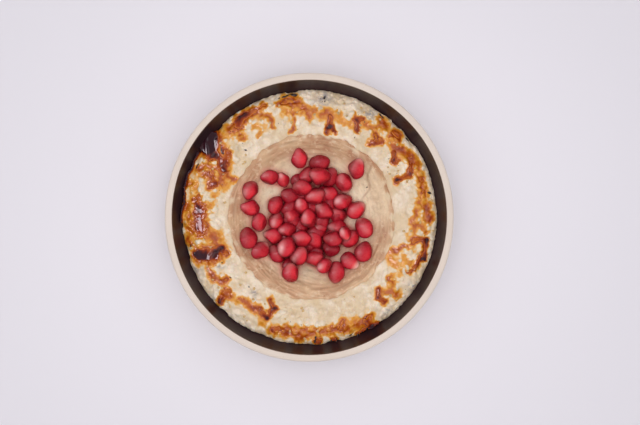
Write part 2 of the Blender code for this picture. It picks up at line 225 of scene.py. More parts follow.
class GanoushSyrup(bpy.types.PropertyGroup):
    gold: colour("Gold", "Syrup that only tints the dip", (0.84, 0.54, 0.19))
    amber: colour("Amber", "Syrup as a thin film", (0.75, 0.310, 0.028))
    rust: colour("Rust", "Syrup half a millimetre deep", (0.51, 0.110, 0.005))
    umber: colour("Umber", "Syrup a millimetre deep", (0.30, 0.036, 0.004))
    maroon: colour("Maroon", "Syrup in a pool", (0.085, 0.010, 0.008))
    pool: colour("Pool", "Syrup at its deepest", (0.030, 0.006, 0.012))


class GanoushArils(bpy.types.PropertyGroup):
    juice: colour("Juice", "Ruby of the flesh", (0.53, 0.012, 0.034))
    glow: colour("Glow", "Where light shines through the flesh", (0.90, 0.026, 0.040))
    # deep: painted shade, crimson low down and at the edges
    deep: colour("Deep", "Crimson low down and at the edges", (0.15, 0.003, 0.012))
    # seed: the pale seed that shows through, and a painted highlight
    seed: colour("Seed", "Pale seed that shows through", (0.98, 0.52, 0.50))


class GanoushStage(bpy.types.PropertyGroup):
    table: colour("Table", "Pale table top", (0.845, 0.825, 0.875))
    lens: FloatProperty(name="Lens", description="Focal length in millimetres", default=57.6)
    height: FloatProperty(
        name="Camera Height", description="Height above the rim", default=0.6, unit="LENGTH"
    )


# ---- helpers for meshes -----------------------------------------------------------


def deselect_all():
    if bpy.context.object and bpy.context.object.mode != "OBJECT":
        bpy.ops.object.mode_set(mode="OBJECT")
    bpy.ops.object.select_all(action="DESELECT")


def active(name):
    """Names the object that was just added and returns it."""
    piece = bpy.context.object
    piece.name = piece.data.name = name
    return piece


def turned(name, profile, steps):
    """Draws a profile of (radius, height) as one line, spins it about Z and closes it.

    A narrow sector is spun first and then doubled round the dish, which is much quicker.
    """
    deselect_all()
    bpy.ops.mesh.primitive_plane_add(size=0.001)
    piece = active(name)
    bpy.ops.object.mode_set(mode="EDIT")
    bpy.ops.mesh.select_all(action="SELECT")
    bpy.ops.mesh.merge(type="CENTER")
    bpy.ops.transform.translate(value=(profile[0][0] * MM, 0, profile[0][1] * MM))
    for here, there in zip(profile, profile[1:]):
        step = ((there[0] - here[0]) * MM, 0, (there[1] - here[1]) * MM)
        bpy.ops.mesh.extrude_region_move(TRANSFORM_OT_translate={"value": step})
    bpy.ops.mesh.select_all(action="SELECT")
    sector = math.tau / 2**DOUBLINGS
    bpy.ops.mesh.spin(steps=steps // 2**DOUBLINGS, angle=sector, center=(0, 0, 0), axis=(0, 0, 1))
    for doubling in range(DOUBLINGS):
        bpy.ops.mesh.select_all(action="SELECT")
        bpy.ops.mesh.duplicate()
        bpy.ops.transform.rotate(value=sector * 2**doubling, orient_axis="Z",
                                 center_override=(0, 0, 0))
    bpy.ops.mesh.select_all(action="SELECT")
    bpy.ops.mesh.remove_doubles(threshold=0.000001)
    bpy.ops.mesh.normals_make_consistent(inside=False)
    bpy.ops.object.mode_set(mode="OBJECT")
    return piece


def points_of(mesh):
    """The mesh's points in millimetres."""
    flat = np.zeros(len(mesh.vertices) * 3)
    mesh.vertices.foreach_get("co", flat)
    return flat.reshape(-1, 3) / MM


def set_points(mesh, points):
    mesh.vertices.foreach_set("co", (points * MM).ravel())
    mesh.update()


def paint(mesh, name, values):
    """Keeps one number for each point, for the material to read."""
    layer = mesh.attributes.get(name) or mesh.attributes.new(name, "FLOAT", "POINT")
    layer.data.foreach_set("value", np.asarray(values, np.float32))


def shade_soft(piece, angle=None):
    deselect_all()
    piece.select_set(True)
    bpy.context.view_layer.objects.active = piece
    if angle is None:
        bpy.ops.object.shade_smooth()
    else:
        bpy.ops.object.shade_smooth_by_angle(angle=angle)


def cut_away(piece, unwanted):
    """Deletes the faces that are marked and turns the rest to face up."""
    deselect_all()
    bpy.context.view_layer.objects.active = piece
    piece.select_set(True)
    bpy.ops.object.mode_set(mode="EDIT")
    bpy.ops.mesh.select_mode(type="FACE")
    bpy.ops.mesh.select_all(action="DESELECT")
    bpy.ops.object.mode_set(mode="OBJECT")
    piece.data.polygons.foreach_set("select", unwanted)
    bpy.ops.object.mode_set(mode="EDIT")
    bpy.ops.mesh.delete(type="FACE")
    bpy.ops.object.mode_set(mode="OBJECT")
    if sum(face.normal.z for face in piece.data.polygons) < 0:
        piece.data.flip_normals()


def ease(low, high, value):
    """0 below low, 1 above high, smooth between."""
    share = np.clip((value - low) / (high - low), 0, 1)
    return share * share * (3 - 2 * share)


def mixed(a, b, share):
    return a + (b - a) * share


def grain(points, size, seed=0):
    """Smooth noise of about -1 to 1 over the points, lumps about size millimetres wide."""
    shift = Vector((17.3 * seed, 5.1 * seed, 9.7 * seed))
    return np.array([noise.noise(Vector(p) / size + shift) for p in points])


def around_rim(x, y):
    """Places on a ring, so that noise read there runs round the dish and meets itself."""
    angle = np.arctan2(y, x)
    return np.column_stack([80 * np.cos(angle), 80 * np.sin(angle), 0 * angle])


# ---- the shapes of the food -------------------------------------------------------


def wall_radius(height):
    """Radius of the bowl's inside at this height."""
    depth = np.clip((RIM_HEIGHT - height) / (RIM_HEIGHT - INNER_FLOOR_HEIGHT), 0, 1)
    share = (1 - depth**1.6) ** (1 / 1.6)
    return INNER_FLOOR_RADIUS + (MOUTH_RADIUS - INNER_FLOOR_RADIUS) * share


def well_distance(x, y):
    return np.hypot(x - WELL_X, y)


def lip_radius(x, y):
    """Where the spread ends and the dip begins, an uneven line round the well."""
    place = around_rim(x - WELL_X, y)
    return WELL_RADIUS - 0.5 + 1.5 * grain(place, 15, 31) + 0.9 * grain(place, 5, 32)


def well_height(distance):
    share = ease(WELL_FLOOR_RADIUS, WELL_RADIUS, distance)
    return mixed(WELL_FLOOR, LIP_HEIGHT, share)


def ring_height(radius):
    """The dip's even height outside the well, before it is roughened."""
    rise = ease(WELL_RADIUS, CREST_RADIUS, radius)
    edge = wall_radius(DIP_EDGE)
    fall = np.clip((radius - CREST_RADIUS) / (edge - CREST_RADIUS), 0, 1.2) ** 1.7
    return mixed(LIP_HEIGHT, CREST_HEIGHT, rise) + (DIP_EDGE - CREST_HEIGHT) * fall


def away_from(x, y, x0, y0, x1, y1):
    """How far each place is from the straight stroke between two points."""
    along = np.array([x1 - x0, y1 - y0])
    share = np.clip(((x - x0) * along[0] + (y - y0) * along[1]) / (along @ along), 0, 1)
    return np.hypot(x - x0 - share * along[0], y - y0 - share * along[1])


def pour_level(x, y):
    """How much syrup was poured at each place, from 0, and the height where a pool settles."""
    total = np.zeros(len(x))
    settled = np.zeros(len(x))
    for x0, y0, x1, y1, width, amount in POURS:
        away = away_from(x, y, x0, y0, x1, y1)
        share = (amount * np.exp(-((away / (width * 1.3)) ** 2.1))) ** 2.5
        total += share
        far = math.hypot((x0 + x1) / 2, (y0 + y1) / 2)
        settled += share * ring_height(min(far, BRIM_RADIUS) if amount > BRIMMING else far)
    settled /= np.maximum(total, 1e-9)
    total = total**0.4
    for cx, cy, radius in CLEAN:
        total *= 1 - 0.9 * np.exp(-((np.hypot(x - cx, y - cy) / radius) ** 3))
    return total, settled


def syrup_folds(x, y):
    """Height of the soft ridges in the syrup at each place, in millimetres."""
    tall = np.zeros(len(x))
    for x0, y0, x1, y1 in FOLDS:
        away = away_from(x, y, x0, y0, x1, y1)
        high = FOLD_HEIGHT * (1 + FOLD_STEEPER * x0)
        tall = np.maximum(tall, high * np.exp(-((away / FOLD_WIDTH) ** 2)))
    return tall


def edge_notches(place):
    """How far the dip stands back from the wall where a spoonful is missing."""
    angle = np.degrees(np.arctan2(place[:, 1], place[:, 0]))
    back = np.zeros(len(place))
    for middle, half, depth in NOTCHES:
        away = np.abs((angle - middle + 180) % 360 - 180) / half
        back += depth * np.clip(1 - away**4, 0, 1)
    return back


def chopped_bits(x, y):
    """How far the chopped bits stand out of the mash at each place, in millimetres."""
    chance = random.Random(11)
    tall = np.zeros(len(x))
    for _ in range(bpy.context.scene.ganoush_dip.bits):
        far = math.sqrt(chance.uniform(49**2, 77**2))
        turn = chance.uniform(0, math.tau)
        half = chance.uniform(0.8, 2.6)
        slim = chance.uniform(0.5, 0.95)
        heading = chance.uniform(0, math.pi)
        rise = half * chance.uniform(0.22, 0.50)
        dx, dy = x - far * math.cos(turn), y - far * math.sin(turn)
        near = np.flatnonzero((np.abs(dx) < half) & (np.abs(dy) < half))
        along = dx[near] * math.cos(heading) + dy[near] * math.sin(heading)
        aside = (dy[near] * math.cos(heading) - dx[near] * math.sin(heading)) / slim
        dome = 1 - (along**2 + aside**2) / half**2
        tall[near] = np.maximum(tall[near], rise * np.clip(dome, 0, 1))
    return tall


def dip_surface(points):
    """The dip's worked top: its height, the syrup's level, the stain of syrup, and the lumps."""
    x, y = points[:, 0], points[:, 1]
    flat = np.column_stack([x, y, 0 * x])
    wander_x, wander_y = 0.6 * grain(flat, 1.9, 3), 0.6 * grain(flat, 1.9, 4)
    worked = ease(WELL_RADIUS, WELL_RADIUS + 9, well_distance(x, y))
    bits = chopped_bits(x + wander_x, y + wander_y) * mixed(0.30, 1.0, worked)
    lump = bpy.context.scene.ganoush_dip.lump / MM
    soft = grain(flat, 6.0, 1) + 0.55 * grain(flat, 2.9, 2) + 0.20 * grain(flat, 1.2, 5)
    even = ring_height(np.hypot(x, y)) + 0.9 * grain(flat, 12.0, 6) * mixed(0.3, 1.0, worked)
    poured, settled = pour_level(x + 1.5 * grain(flat, 4.5, 7) + 0.7 * grain(flat, 1.6, 9),
                                 y + 1.5 * grain(flat, 4.5, 8) + 0.7 * grain(flat, 1.6, 10))
    pool = np.clip(poured - 2.1, 0, 2)
    relief = (lump * soft + bits) * (1 - 0.5 * ease(0, 0.8, pool))
    folds = syrup_folds(x + 0.35 * grain(flat, 2.5, 16), y)
    height = even + relief - 0.15 - 1.0 * pool + folds
    calm = mixed(even, settled, 0.9 * ease(1.9, 2.6, poured))
    level = calm - 2.2 + 2.35 * ease(1.1, 2.6, poured) + folds
    lumps = np.clip(bits / 0.85, 0, 1) * 0.65 + 0.35 * ease(-0.8, 0.8, soft)
    stain = 0.36 * poured - 0.40 * lumps + 0.07 * grain(flat, 4.0, 14) + 0.3 * folds
    return height, level, np.clip(stain, 0, 1.2), lumps


# ---- helpers for materials --------------------------------------------------------


class Wire:
    """A node socket that can stand in a sum: an expression on numbers adds its Math nodes."""

    def __init__(self, tree, socket):
        self.tree, self.socket = tree, socket

    def node(self, kind, settings=None, out=0, **sockets):
        """Adds a node, sets it up, then fills its sockets, and returns its output."""
        made = self.tree.nodes.new(kind)
        for key, value in (settings or {}).items():
            if key == "stops":
                ramp = made.color_ramp
                while len(ramp.elements) < len(value):
                    ramp.elements.new(0.5)
                for stop, (place, shade) in zip(ramp.elements, value):
                    stop.position, stop.color = place, (*shade, 1)
            else:
                setattr(made, key, value)
        for key, value in sockets.items():
            place = int(key[1:]) if key[0] == "i" and key[1:].isdigit() else key.replace("_", " ")
            socket = made.inputs[place]
            if isinstance(value, Wire):
                self.tree.links.new(value.socket, socket)
            else:
                socket.default_value = value
        return Wire(self.tree, made.outputs[out])

    def math(self, operation, *values):
        sockets = {f"i{i}": value for i, value in enumerate(values)}
        return self.node("ShaderNodeMath", {"operation": operation}, **sockets)

    def __add__(self, other):
        return self.math("ADD", self, other)

    def __sub__(self, other):
        return self.math("SUBTRACT", self, other)

    def __rsub__(self, other):
        return self.math("SUBTRACT", other, self)

    def __mul__(self, other):
        return self.math("MULTIPLY", self, other)

    __radd__, __rmul__ = __add__, __mul__

    def smooth(self, low, high, start=0.0, end=1.0):
        """Eases from start to end as the number goes from low to high."""
        return self.node(
            "ShaderNodeMapRange", {"interpolation_type": "SMOOTHSTEP"},
            Value=self, From_Min=low, From_Max=high, To_Min=start, To_Max=end,
        )

    def mix(self, a, b):
        """Colour a where this number is 0 and colour b where it is 1."""
        return self.node(
            "ShaderNodeMix", {"data_type": "RGBA", "clamp_factor": True}, 2, i0=self, i6=a, i7=b
        )


def rgba(shade):
    return (*shade, 1)


class Finish:
    """A new material with its Principled shader, and the places its patterns are read from."""

    def __init__(self, name, **constants):
        self.material = bpy.data.materials.new(name)
        self.material.use_nodes = True
        tree = self.material.node_tree
        self.shader = tree.nodes["Principled BSDF"]
        self.start = Wire(tree, None)
        self.place = self.start.node("ShaderNodeTexCoord", out="Object")
        for key, value in constants.items():
            self.shader.inputs[key.replace("_", " ")].default_value = value

    def attribute(self, name):
        return self.start.node("ShaderNodeAttribute", {"attribute_name": name}, "Fac")

    def noise(self, scale, detail=3.0, roughness=0.5, place=None, stretch=(1, 1, 1), out="Fac"):
        """Noise with features about 1 / scale metres apart."""
        where = place or self.place
        if stretch != (1, 1, 1):
            where = self.start.node("ShaderNodeMapping", Vector=where, Scale=stretch)
        return self.start.node(
            "ShaderNodeTexNoise", None, out,
            Vector=where, Scale=scale, Detail=detail, Roughness=roughness,
        )

    def cells(self, scale, feature="F1", out="Distance"):
        return self.start.node(
            "ShaderNodeTexVoronoi", {"feature": feature}, out, Vector=self.place, Scale=scale
        )

    def ramp(self, value, stops):
        return self.start.node("ShaderNodeValToRGB", {"stops": stops}, "Color", Fac=value)

    def bump(self, height, strength, distance):
        return self.start.node(
            "ShaderNodeBump", None, "Normal", Strength=strength, Distance=distance, Height=height
        )

    def feed(self, **wires):
        for key, wire in wires.items():
            socket = self.shader.inputs[key.replace("_", " ")]
            self.material.node_tree.links.new(wire.socket, socket)
        return self.material


def dress(piece, material, slot, *nodes):
    """Gives a finished piece its material and its body and hides the nodes it stands for; its slot
    is not used.
    """
    piece.data.materials.clear()
    piece.data.materials.append(material)
    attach(piece, "root")
    if nodes:
        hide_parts(*nodes)


# ---- the bowl ---------------------------------------------------------------------


OUTER_EDGE_SHADE = (0.76, 0.69, 0.70)  # painted shade on the rim where it turns down to the outside
CLAY_SPECKLE = (0.42, 0.28, 0.19)
GLAZE_RUST = (0.115, 0.060, 0.038)  # glaze that ran thin at the rim


def stoneware_finish(sizes):
    """Cream clay outside, dark glaze inside, parted by a line round the inner edge of the rim."""
    finish = Finish("stoneware", IOR=1.30)
    cloud = finish.noise(38, 4)
    speckle = finish.noise(900, 2)
    streak = finish.noise(60, 4)
    inside = finish.attribute("glazed")
    thin = finish.attribute("glaze_thin")
    clay = cloud.smooth(0.35, 0.7).mix(rgba(sizes.clay), rgba([c * 0.955 for c in sizes.clay]))
    # painted shade: the rim is darkened where it turns down to the outside
    clay = finish.attribute("outer_edge").mix(clay, rgba(OUTER_EDGE_SHADE))
    spots = speckle.smooth(0.70, 0.76) * 0.35
    clay = spots.mix(clay, rgba(CLAY_SPECKLE))
    glaze = streak.smooth(0.3, 0.75).mix(rgba(sizes.glaze), rgba([c * 1.35 for c in sizes.glaze]))
    glaze = (thin * 0.75).mix(glaze, rgba(GLAZE_RUST))
    base = inside.mix(clay, glaze)
    roughness = inside.smooth(0.0, 1.0, 0.42, 0.30) + (cloud - 0.5) * 0.12
    pits = finish.cells(420).smooth(0.0, 0.10)
    relief = finish.noise(120, 3) * 0.7 + pits * 0.25 + finish.noise(700, 2) * 0.18
    return finish.feed(
        Base_Color=base, Roughness=roughness, Normal=finish.bump(relief, 0.35, 0.00035)
    )


class MESH_OT_ganoush_bowl(bpy.types.Operator):
    """Turns the stoneware bowl"""

    bl_idname = "mesh.ganoush_bowl"
    bl_label = "Bowl"

    def execute(self, context):
        sizes = context.scene.ganoush_bowl
        # the inside, from the middle up to the rim
        heights = [INNER_FLOOR_HEIGHT + (RIM_HEIGHT - 1.2 - INNER_FLOOR_HEIGHT) * (i / 22) ** 1.7
                   for i in range(23)]
        profile = [(0, INNER_FLOOR_HEIGHT), (25, INNER_FLOOR_HEIGHT)]
        profile += [(float(wall_radius(z)), z) for z in heights]
        # the rim's inner edge, its flat top and its outer edge
        for i in range(6):
            turn = math.radians(180 - 90 * i / 5)
            profile.append((MOUTH_RADIUS + 0.55 + 0.55 * math.cos(turn),
                            RIM_HEIGHT - 0.60 + 0.50 * math.sin(turn)))
        profile += [(MOUTH_RADIUS + 1.3, RIM_HEIGHT - 0.02), (MOUTH_RADIUS + 2.3, RIM_HEIGHT)]
        for i in range(9):
            turn = math.radians(90 - 90 * i / 8)
            profile.append((RIM_RADIUS - 1.5 + 1.5 * math.cos(turn),
                            RIM_HEIGHT - 1.55 + 1.5 * math.sin(turn)))
        # the outside, then the foot ring and the underside
        for i in range(1, 25):
            depth = (i / 24) ** 0.8
            share = max(0.0, 1 - depth**1.75) ** (1 / 1.75)
            profile.append((54 + (RIM_RADIUS - 54) * share,
                            RIM_HEIGHT - 2.8 - (RIM_HEIGHT - 6.0) * depth))
        profile += [(52.4, 2.4), (51.4, 1.1), (50.9, 0.4), (50.3, 0.0), (46.5, 0.0),
                    (46.0, 0.35), (45.2, 1.6), (44.2, 2.3), (42.0, 2.4), (20, 2.4), (0, 2.4)]
        bowl = turned("stoneware_bowl", profile, sizes.steps)
        points = points_of(bowl.data)
        radius = np.hypot(points[:, 0], points[:, 1])
        angle = np.arctan2(points[:, 1], points[:, 0])
        wave = np.sin(3 * angle + 0.7) * 0.6 + np.sin(5 * angle + 2.1) * 0.4
        rings = np.sin(points[:, 2] * 1.9 + 0.4 * np.sin(2 * angle)) * ease(4, 12, points[:, 2])
        outer = (radius > MOUTH_RADIUS + 1.5) & (points[:, 2] < RIM_HEIGHT - 3)
        push = -np.abs(wave) * sizes.wobble / MM * ease(20, 40, radius) * (points[:, 2] > 3)
        push = push - 0.10 * (rings + 1) * outer
        points[:, :2] *= ((radius + push) / np.maximum(radius, 1))[:, None]
        set_points(bowl.data, points)
        edge = MOUTH_RADIUS + 0.30 + 0.10 * wave
        inward = 1 - ease(-0.12, 0.12, radius - edge)
        top = points[:, 2] > RIM_HEIGHT - 8
        below = (radius < wall_radius(points[:, 2]) + 1.2) & (points[:, 2] > 7.0)
        paint(bowl.data, "glazed", np.where(top, inward, below * 1.0))
        paint(bowl.data, "glaze_thin", ease(RIM_HEIGHT - 1.6, RIM_HEIGHT - 0.4, points[:, 2]))
        # painted shade on the rounded outer edge of the rim
        round_off = ease(RIM_RADIUS - 0.9, RIM_RADIUS - 0.2, radius)
        near_top = ease(RIM_HEIGHT - 4, RIM_HEIGHT - 2, points[:, 2])
        paint(bowl.data, "outer_edge", 0.35 * round_off * near_top)
        shade_soft(bowl, math.radians(50))
        dress(bowl, stoneware_finish(sizes), "stoneware", "bowl")
        return {"FINISHED"}


# ---- the chopped dip --------------------------------------------------------------


def syrup_stops(syrup):
    """Colours of the syrup over cream, from a tint to a pool."""
    return [(0.0, syrup.gold), (0.25, syrup.amber), (0.50, syrup.rust), (0.70, syrup.umber),
            (0.86, syrup.maroon), (1.0, syrup.pool)]


# painted highlight on the tops of the lumps
LUMP_TOP_HIGHLIGHT = (0.93, 0.84, 0.69)
FIBRE = (0.62, 0.48, 0.31)
CURD = (0.58, 0.44, 0.28)
SMEAR = (0.66, 0.46, 0.29)  # sesame paste dragged over the lip


def dip_finish(sizes, syrup):
    finish = Finish("mashed_aubergine", IOR=1.42, Coat_Roughness=0.08, Subsurface_Weight=0.15,
                    Subsurface_Scale=0.002, Subsurface_Radius=(1.0, 0.6, 0.3))
    lump = finish.attribute("lump")
    stain = finish.attribute("stain")
    pale = finish.noise(110, 4)
    fine = finish.noise(420, 3)
    curd = finish.noise(700, 4)
    shaded = rgba([c * f for c, f in zip(sizes.flesh, (0.88, 0.82, 0.70))])
    flesh = pale.smooth(0.36, 0.62).mix(rgba(sizes.flesh), shaded)
    # painted shade deep between the lumps
    flesh = lump.smooth(0.0, 0.35, 0.50, 0.0).mix(flesh, rgba(sizes.crease_shade))
    # painted highlight: the tops of the lumps are made lighter
    flesh = (lump.smooth(0.55, 0.95) * 0.55).mix(flesh, rgba(LUMP_TOP_HIGHLIGHT))
    fibre = finish.noise(230, 3, stretch=(1, 0.35, 1))
    flesh = (fibre.smooth(0.55, 0.68) * 0.32).mix(flesh, rgba(FIBRE))
    flesh = (curd.smooth(0.56, 0.68) * 0.30).mix(flesh, rgba(CURD))
    skin = finish.attribute("skin")
    flesh = (skin * fine.smooth(0.35, 0.6)).mix(flesh, rgba(sizes.skin))
    flesh = (finish.attribute("paste") * 0.6).mix(flesh, rgba(SMEAR))
    veins = (finish.noise(160, 3) - 0.5) + (finish.noise(520, 3) - 0.5) * 0.7
    drift = veins * stain.smooth(0.0, 0.2, 0.0, 0.27)
    wet = finish.ramp(stain + drift, syrup_stops(syrup))
    base = stain.smooth(0.0, 0.17).mix(flesh, wet)
    relief = fine * 0.9 + curd * 0.5
    roughness = stain.smooth(0.0, 0.25, 0.46, 0.22) + (fine - 0.5) * 0.2
    return finish.feed(Base_Color=base, Roughness=roughness,
                       Coat_Weight=stain.smooth(0.05, 0.40, 0.0, 0.7),
                       Normal=finish.bump(relief, 0.45, 0.0005))


class MESH_OT_ganoush_dip(bpy.types.Operator):
    """Fills the bowl with the chopped aubergine"""

    bl_idname = "mesh.ganoush_dip"
    bl_label = "Chopped dip"

    def execute(self, context):
        sizes = context.scene.ganoush_dip
        edge = float(wall_radius(DIP_EDGE)) - FOOD_GAP
        fine_from = 46.4  # inside this the spread hides the dip
        count = 84
        rings = [fine_from + (edge - fine_from) * i / count for i in range(count + 1)]
        profile = [(r, DIP_EDGE) for r in [0, 12, 24, 34, 42, *rings]]
        skirt = [27.2, 25.5, 22.5, 18.5, 13.5, 10.0]
        profile += [(float(wall_radius(z)) - 0.35, z) for z in skirt]
        profile += [(50, INNER_FLOOR_HEIGHT + 0.3), (0, INNER_FLOOR_HEIGHT + 0.3)]
        dip = turned("aubergine_dip", profile, sizes.steps)
        points = points_of(dip.data)
        top = points[:, 2] > DIP_EDGE - 0.01
        work = points[top].copy()
        place = around_rim(work[:, 0], work[:, 1])
        ragged = 0.8 * grain(place, 14, 11) + 0.8 * grain(place, 4.2, 12)
        ragged += 0.6 * grain(place, 1.8, 13)
        radius = np.hypot(work[:, 0], work[:, 1])
        reach = ease(CREST_RADIUS, edge, radius)
        pulled = np.clip(0.8 * ragged - 0.25, 0, 1.3) + edge_notches(place)
        work[:, :2] *= (1 - pulled * reach / np.maximum(radius, 1))[:, None]
        height, _, stain, lumps = dip_surface(work)
        well = well_distance(work[:, 0], work[:, 1])
        lip = lip_radius(work[:, 0], work[:, 1])
        inside = 1 - ease(lip - 1.2, lip + 0.8, well)
        work[:, 2] = mixed(height, well_height(well) - 2.0, inside)
        work[:, 2] -= 0.5 * ease(edge - 1.5, edge, radius)
        now = np.hypot(work[:, 0], work[:, 1])
        outer = wall_radius(work[:, 2]) - FOOD_GAP
        work[:, :2] *= (np.minimum(now, outer) / np.maximum(now, 1))[:, None]
        points[top] = work
        set_points(dip.data, points)
        paste = (1 - ease(lip + 0.2, lip + 3.4, well)) * ease(-0.3, 0.7, grain(work, 3.0, 15))
        skin = np.zeros(len(work))
        for x, y, spot in SKIN_BITS:
            away = np.hypot(work[:, 0] - x, work[:, 1] - y)
            skin = np.maximum(skin, np.exp(-((away / spot) ** 2)))
        for name, values, elsewhere in (("lump", lumps, 1), ("stain", stain, 0),
                                        ("paste", paste, 0), ("skin", skin, 0)):
            whole = np.full(len(points), elsewhere, float)
            whole[top] = values
            paint(dip.data, name, whole)
        shade_soft(dip)
        dress(dip, dip_finish(sizes, context.scene.ganoush_syrup), "aubergine_dip", "baba_ganoush")
        return {"FINISHED"}


# ---- the sesame spread ------------------------------------------------------------


def spoon_marks(points):
    """Long marks that follow the spoon round the well, from about -1 to 1."""
    x, y = points[:, 0] - WELL_X, points[:, 1]
    distance = np.hypot(x, y)
    angle = np.arctan2(y, x)
    drift = distance + 2.2 * np.sin(angle * 2 + 0.6) + 1.1 * np.sin(angle * 3 + 2.0)
    marks = np.zeros(len(x))
    for run, across, share, seed in ((2.2, 0.30, 0.60, 22), (5.0, 0.62, 0.60, 21),
                                     (8.0, 1.05, 0.55, 25), (13.0, 1.6, 0.45, 27)):
        place = np.column_stack([run * np.cos(angle), run * np.sin(angle), drift * across])
        worn = grain(np.column_stack([x, y, 0 * x]), 11, seed + 10)
        marks += share * grain(place, 1.0, seed) * mixed(0.35, 1.3, ease(-0.4, 0.5, worn))
    return marks


def red_glow_and_juice(x, y):
    """How much juice and painted red light the spread gets beside the arils, which let light and
    juice through.
    """
    red = np.zeros(len(x))
    for name in (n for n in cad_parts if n.startswith("aril_")):
        low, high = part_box(name)
        centre = (low + high) / 2 / MM
        red += 0.85 * np.exp(-(((x - centre.x) ** 2 + (y - centre.y) ** 2) / 26))
    return np.clip(red, 0, 1)


def far_ledge(x, y):
    """1 on the right side of the well, where a second stroke left the spread a step higher."""
    step_x = 36.0 - 0.012 * (y - 27) ** 2 + 1.2 * np.sin(y * 0.45)
    return ease(-1.1, 1.1, x - step_x)


SLOPE_SHADE = (0.415, 0.178, 0.080)
LAST_STROKE = (0.82, 0.635, 0.42)  # the pale sweep on the right of the well
# painted light in the middle of the well, against the shade of its deep sides
WELL_MIDDLE_LIGHT = (1.0, 0.86, 0.62)
PASTE_CLOUD = (0.90, 0.70, 0.42)
PASTE_DENT = (0.55, 0.38, 0.22)
PASTE_CREST = (0.94, 0.74, 0.50)
PASTE_GRAIN = (0.50, 0.34, 0.20)
PASTE_CREAM = (0.80, 0.655, 0.45)
GLOW_AND_JUICE_TINT = (0.98, 0.42, 0.31)  # juice and painted red light beside an aril
GLOW_AND_JUICE_RED = (0.72, 0.11, 0.10)  # juice and painted red light between arils
HEAP_SHADE = (0.22, 0.008, 0.016)  # painted shade under the heap
FURROW_SHADE = (0.36, 0.20, 0.11)


def spread_finish(sizes):
    finish = Finish("sesame_paste", IOR=1.45, Subsurface_Weight=0.12,
                    Subsurface_Scale=0.002, Subsurface_Radius=(1.0, 0.55, 0.3))
    mark = finish.attribute("mark")
    pale = finish.attribute("pale")
    slope = finish.attribute("slope")
    cream = finish.attribute("cream")
    fine = finish.noise(600, 3)
    cloud = finish.noise(75, 3)
    base = mark.smooth(-0.65, 0.35, 0.75, 0.0).mix(rgba(sizes.paste), rgba(sizes.shade))
    base = (slope * mark.smooth(-0.6, 0.6, 0.85, 0.42)).mix(base, rgba(SLOPE_SHADE))
    base = (pale * 0.75).mix(base, rgba(LAST_STROKE))
    # painted light: the middle of the well is made lighter against the shade of its deep sides
    base = (finish.attribute("middle") * 0.95).mix(base, rgba(WELL_MIDDLE_LIGHT))
    crinkle = finish.noise(330, 4, 0.65)
    base = (cloud.smooth(0.45, 0.7) * 0.30).mix(base, rgba(PASTE_CLOUD))
    base = (crinkle.smooth(0.50, 0.64) * 0.34).mix(base, rgba(PASTE_DENT))
    base = crinkle.smooth(0.36, 0.46, 0.36, 0.0).mix(base, rgba(PASTE_CREST))
    base = (fine.smooth(0.60, 0.72) * 0.24).mix(base, rgba(PASTE_GRAIN))
    base = (cream * 0.8).mix(base, rgba(PASTE_CREAM))
    blush = finish.attribute("blush")
    # juice and painted red light that shines through the arils onto the spread
    glow_and_juice_share = blush.smooth(0.05, 0.50) * cloud.smooth(0.35, 0.65, 0.55, 0.80)
    base = glow_and_juice_share.mix(base, rgba(GLOW_AND_JUICE_TINT))
    base = blush.smooth(0.38, 0.66, 0.0, 0.8).mix(base, rgba(GLOW_AND_JUICE_RED))
    # painted shade where the arils crowd together
    base = blush.smooth(0.78, 1.0, 0.0, 0.9).mix(base, rgba(HEAP_SHADE))
    # painted shade in the spoon's furrows and along the ledge's step
    base = finish.attribute("line").mix(base, rgba(FURROW_SHADE))
    relief = crinkle * 1.2 + fine * 0.6 + finish.noise(1500, 2) * 0.3
    return finish.feed(Base_Color=base, Roughness=(fine - 0.5) * 0.2 + 0.5,
                       Normal=finish.bump(relief, 0.40, 0.0005))


